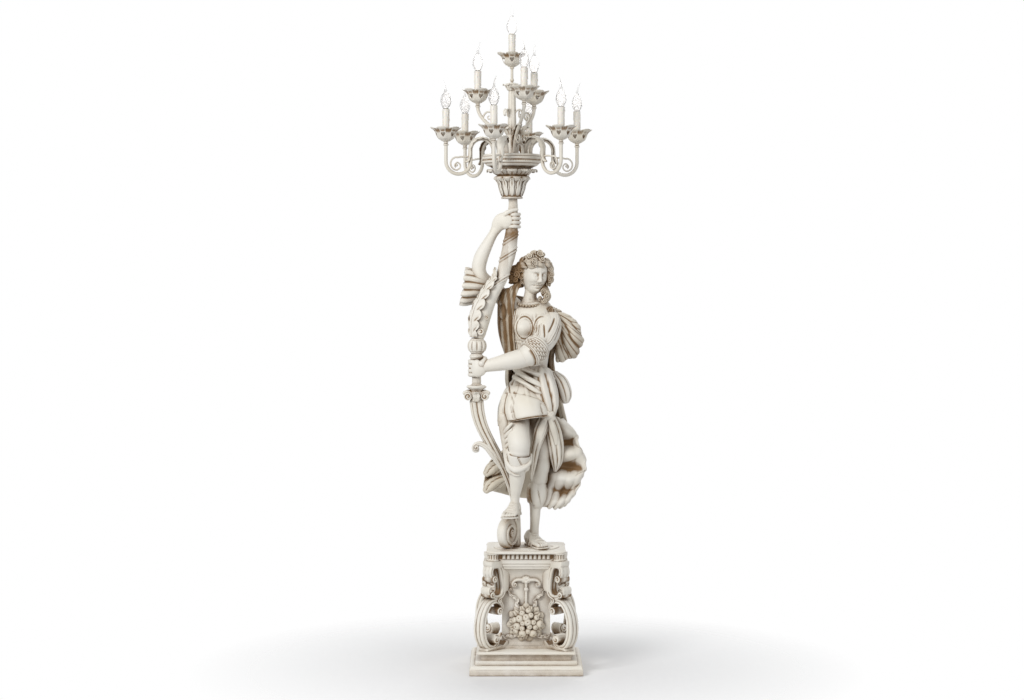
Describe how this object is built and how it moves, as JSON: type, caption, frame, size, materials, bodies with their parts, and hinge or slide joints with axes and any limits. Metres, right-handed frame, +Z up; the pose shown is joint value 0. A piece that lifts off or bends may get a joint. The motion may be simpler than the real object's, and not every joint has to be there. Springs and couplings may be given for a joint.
{
  "type": "floor lamp",
  "caption": "Tall floor lamp: a carved draped woman on a scrolled square pedestal holds a horn of plenty under a tiered candelabra of petalled cups, candle sleeves and flame-tip bulbs.",
  "frame": {"origin": "centre of the underside of the square base slab", "axes": "+Z up, -Y is the front that the figure and the fruit panel face, +X is to the right seen from the front"},
  "size_m": [0.5524, 0.5524, 2.246],
  "materials": {
    "carved_ivory": "carved wood in matt ivory paint with a thin gold-brown wash left in the recesses",
    "carved_shade": "carved wood in ivory paint with a heavier gold-brown wash",
    "arm_metal": "silvery ivory paint rubbed with brown in the hollows",
    "candle_sleeve": "wax-white with drip marks",
    "lampholder": "plain moulded",
    "gland_brass": "aged",
    "bulb_glass": "lightly frosted clear glass with a drawn tip"
  },
  "bodies": {
    "lamp": {"base_slab": "carved_shade", "plinth_board": "carved_ivory", "pedestal_core": "carved_ivory", "console_front_left": "carved_ivory", "console_front_right": "carved_ivory", "console_back_left": "carved_ivory", "console_back_right": "carved_ivory", "pedestal_cap": "carved_ivory", "fruit_cluster": "carved_shade", "ribbons": "carved_ivory", "cord_gland": "gland_brass", "foot_scroll": "carved_ivory", "horn_stem": "carved_ivory", "stem_branch": "carved_ivory", "stem_capital": "carved_ivory", "horn_grip": "carved_ivory", "gadroon_knob": "carved_ivory", "acanthus_leaves": "carved_ivory", "horn_body": "carved_ivory", "vase": "carved_ivory", "drip_ring": "carved_ivory", "arm_hub": "carved_ivory", "column": "carved_ivory", "top_rod": "arm_metal", "lower_arms": "arm_metal", "upper_arms": "arm_metal", "arm_leaves": "arm_metal", "lower_cups": "arm_metal", "upper_cups": "arm_metal", "top_cup": "arm_metal", "candle_sleeves": "candle_sleeve", "lampholders": "lampholder", "standing_leg": "carved_ivory", "raised_leg": "carved_ivory", "sandal_feet": "carved_ivory", "tunic": "carved_ivory", "long_skirt": "carved_ivory", "sash": "carved_ivory", "side_mantle": "carved_ivory", "back_mantle": "carved_shade", "torso": "carved_ivory", "shoulder_drape": "carved_shade", "jewellery": "carved_shade", "head": "carved_ivory", "hair": "carved_shade", "hair_flowers": "carved_shade", "right_arm": "carved_ivory", "right_sleeve": "carved_ivory", "left_sleeve": "carved_ivory", "left_forearm": "carved_ivory"},
    "bulb_1": {"bulb_1": "bulb_glass"},
    "bulb_2": {"bulb_2": "bulb_glass"},
    "bulb_3": {"bulb_3": "bulb_glass"},
    "bulb_4": {"bulb_4": "bulb_glass"},
    "bulb_5": {"bulb_5": "bulb_glass"},
    "bulb_6": {"bulb_6": "bulb_glass"},
    "bulb_7": {"bulb_7": "bulb_glass"},
    "bulb_8": {"bulb_8": "bulb_glass"},
    "bulb_9": {"bulb_9": "bulb_glass"},
    "bulb_10": {"bulb_10": "bulb_glass"}
  },
  "joints": [
    {"name": "bulb_1_screw", "type": "hinge", "parent": "lamp", "child": "bulb_1", "pos_m": [-0.21024, 0.16264, 1.894], "axis": [0, 0, 1], "range_deg": [0, 1260]},
    {"name": "bulb_2_screw", "type": "hinge", "parent": "lamp", "child": "bulb_2", "pos_m": [-0.26976, -0.05953, 1.894], "axis": [0, 0, 1], "range_deg": [0, 1260]},
    {"name": "bulb_3_screw", "type": "hinge", "parent": "lamp", "child": "bulb_3", "pos_m": [-0.10713, -0.22216, 1.894], "axis": [0, 0, 1], "range_deg": [0, 1260]},
    {"name": "bulb_4_screw", "type": "hinge", "parent": "lamp", "child": "bulb_4", "pos_m": [0.11503, -0.16264, 1.894], "axis": [0, 0, 1], "range_deg": [0, 1260]},
    {"name": "bulb_5_screw", "type": "hinge", "parent": "lamp", "child": "bulb_5", "pos_m": [0.17456, 0.05953, 1.894], "axis": [0, 0, 1], "range_deg": [0, 1260]},
    {"name": "bulb_6_screw", "type": "hinge", "parent": "lamp", "child": "bulb_6", "pos_m": [0.01193, 0.22216, 1.894], "axis": [0, 0, 1], "range_deg": [0, 1260]},
    {"name": "bulb_7_screw", "type": "hinge", "parent": "lamp", "child": "bulb_7", "pos_m": [-0.16381, 0.02049, 2.028], "axis": [0, 0, 1], "range_deg": [0, 1260]},
    {"name": "bulb_8_screw", "type": "hinge", "parent": "lamp", "child": "bulb_8", "pos_m": [-0.00724, -0.11088, 2.028], "axis": [0, 0, 1], "range_deg": [0, 1260]},
    {"name": "bulb_9_screw", "type": "hinge", "parent": "lamp", "child": "bulb_9", "pos_m": [0.02825, 0.09039, 2.028], "axis": [0, 0, 1], "range_deg": [0, 1260]},
    {"name": "bulb_10_screw", "type": "hinge", "parent": "lamp", "child": "bulb_10", "pos_m": [-0.0476, 0, 2.149], "axis": [0, 0, 1], "range_deg": [0, 1260]}
  ]
}
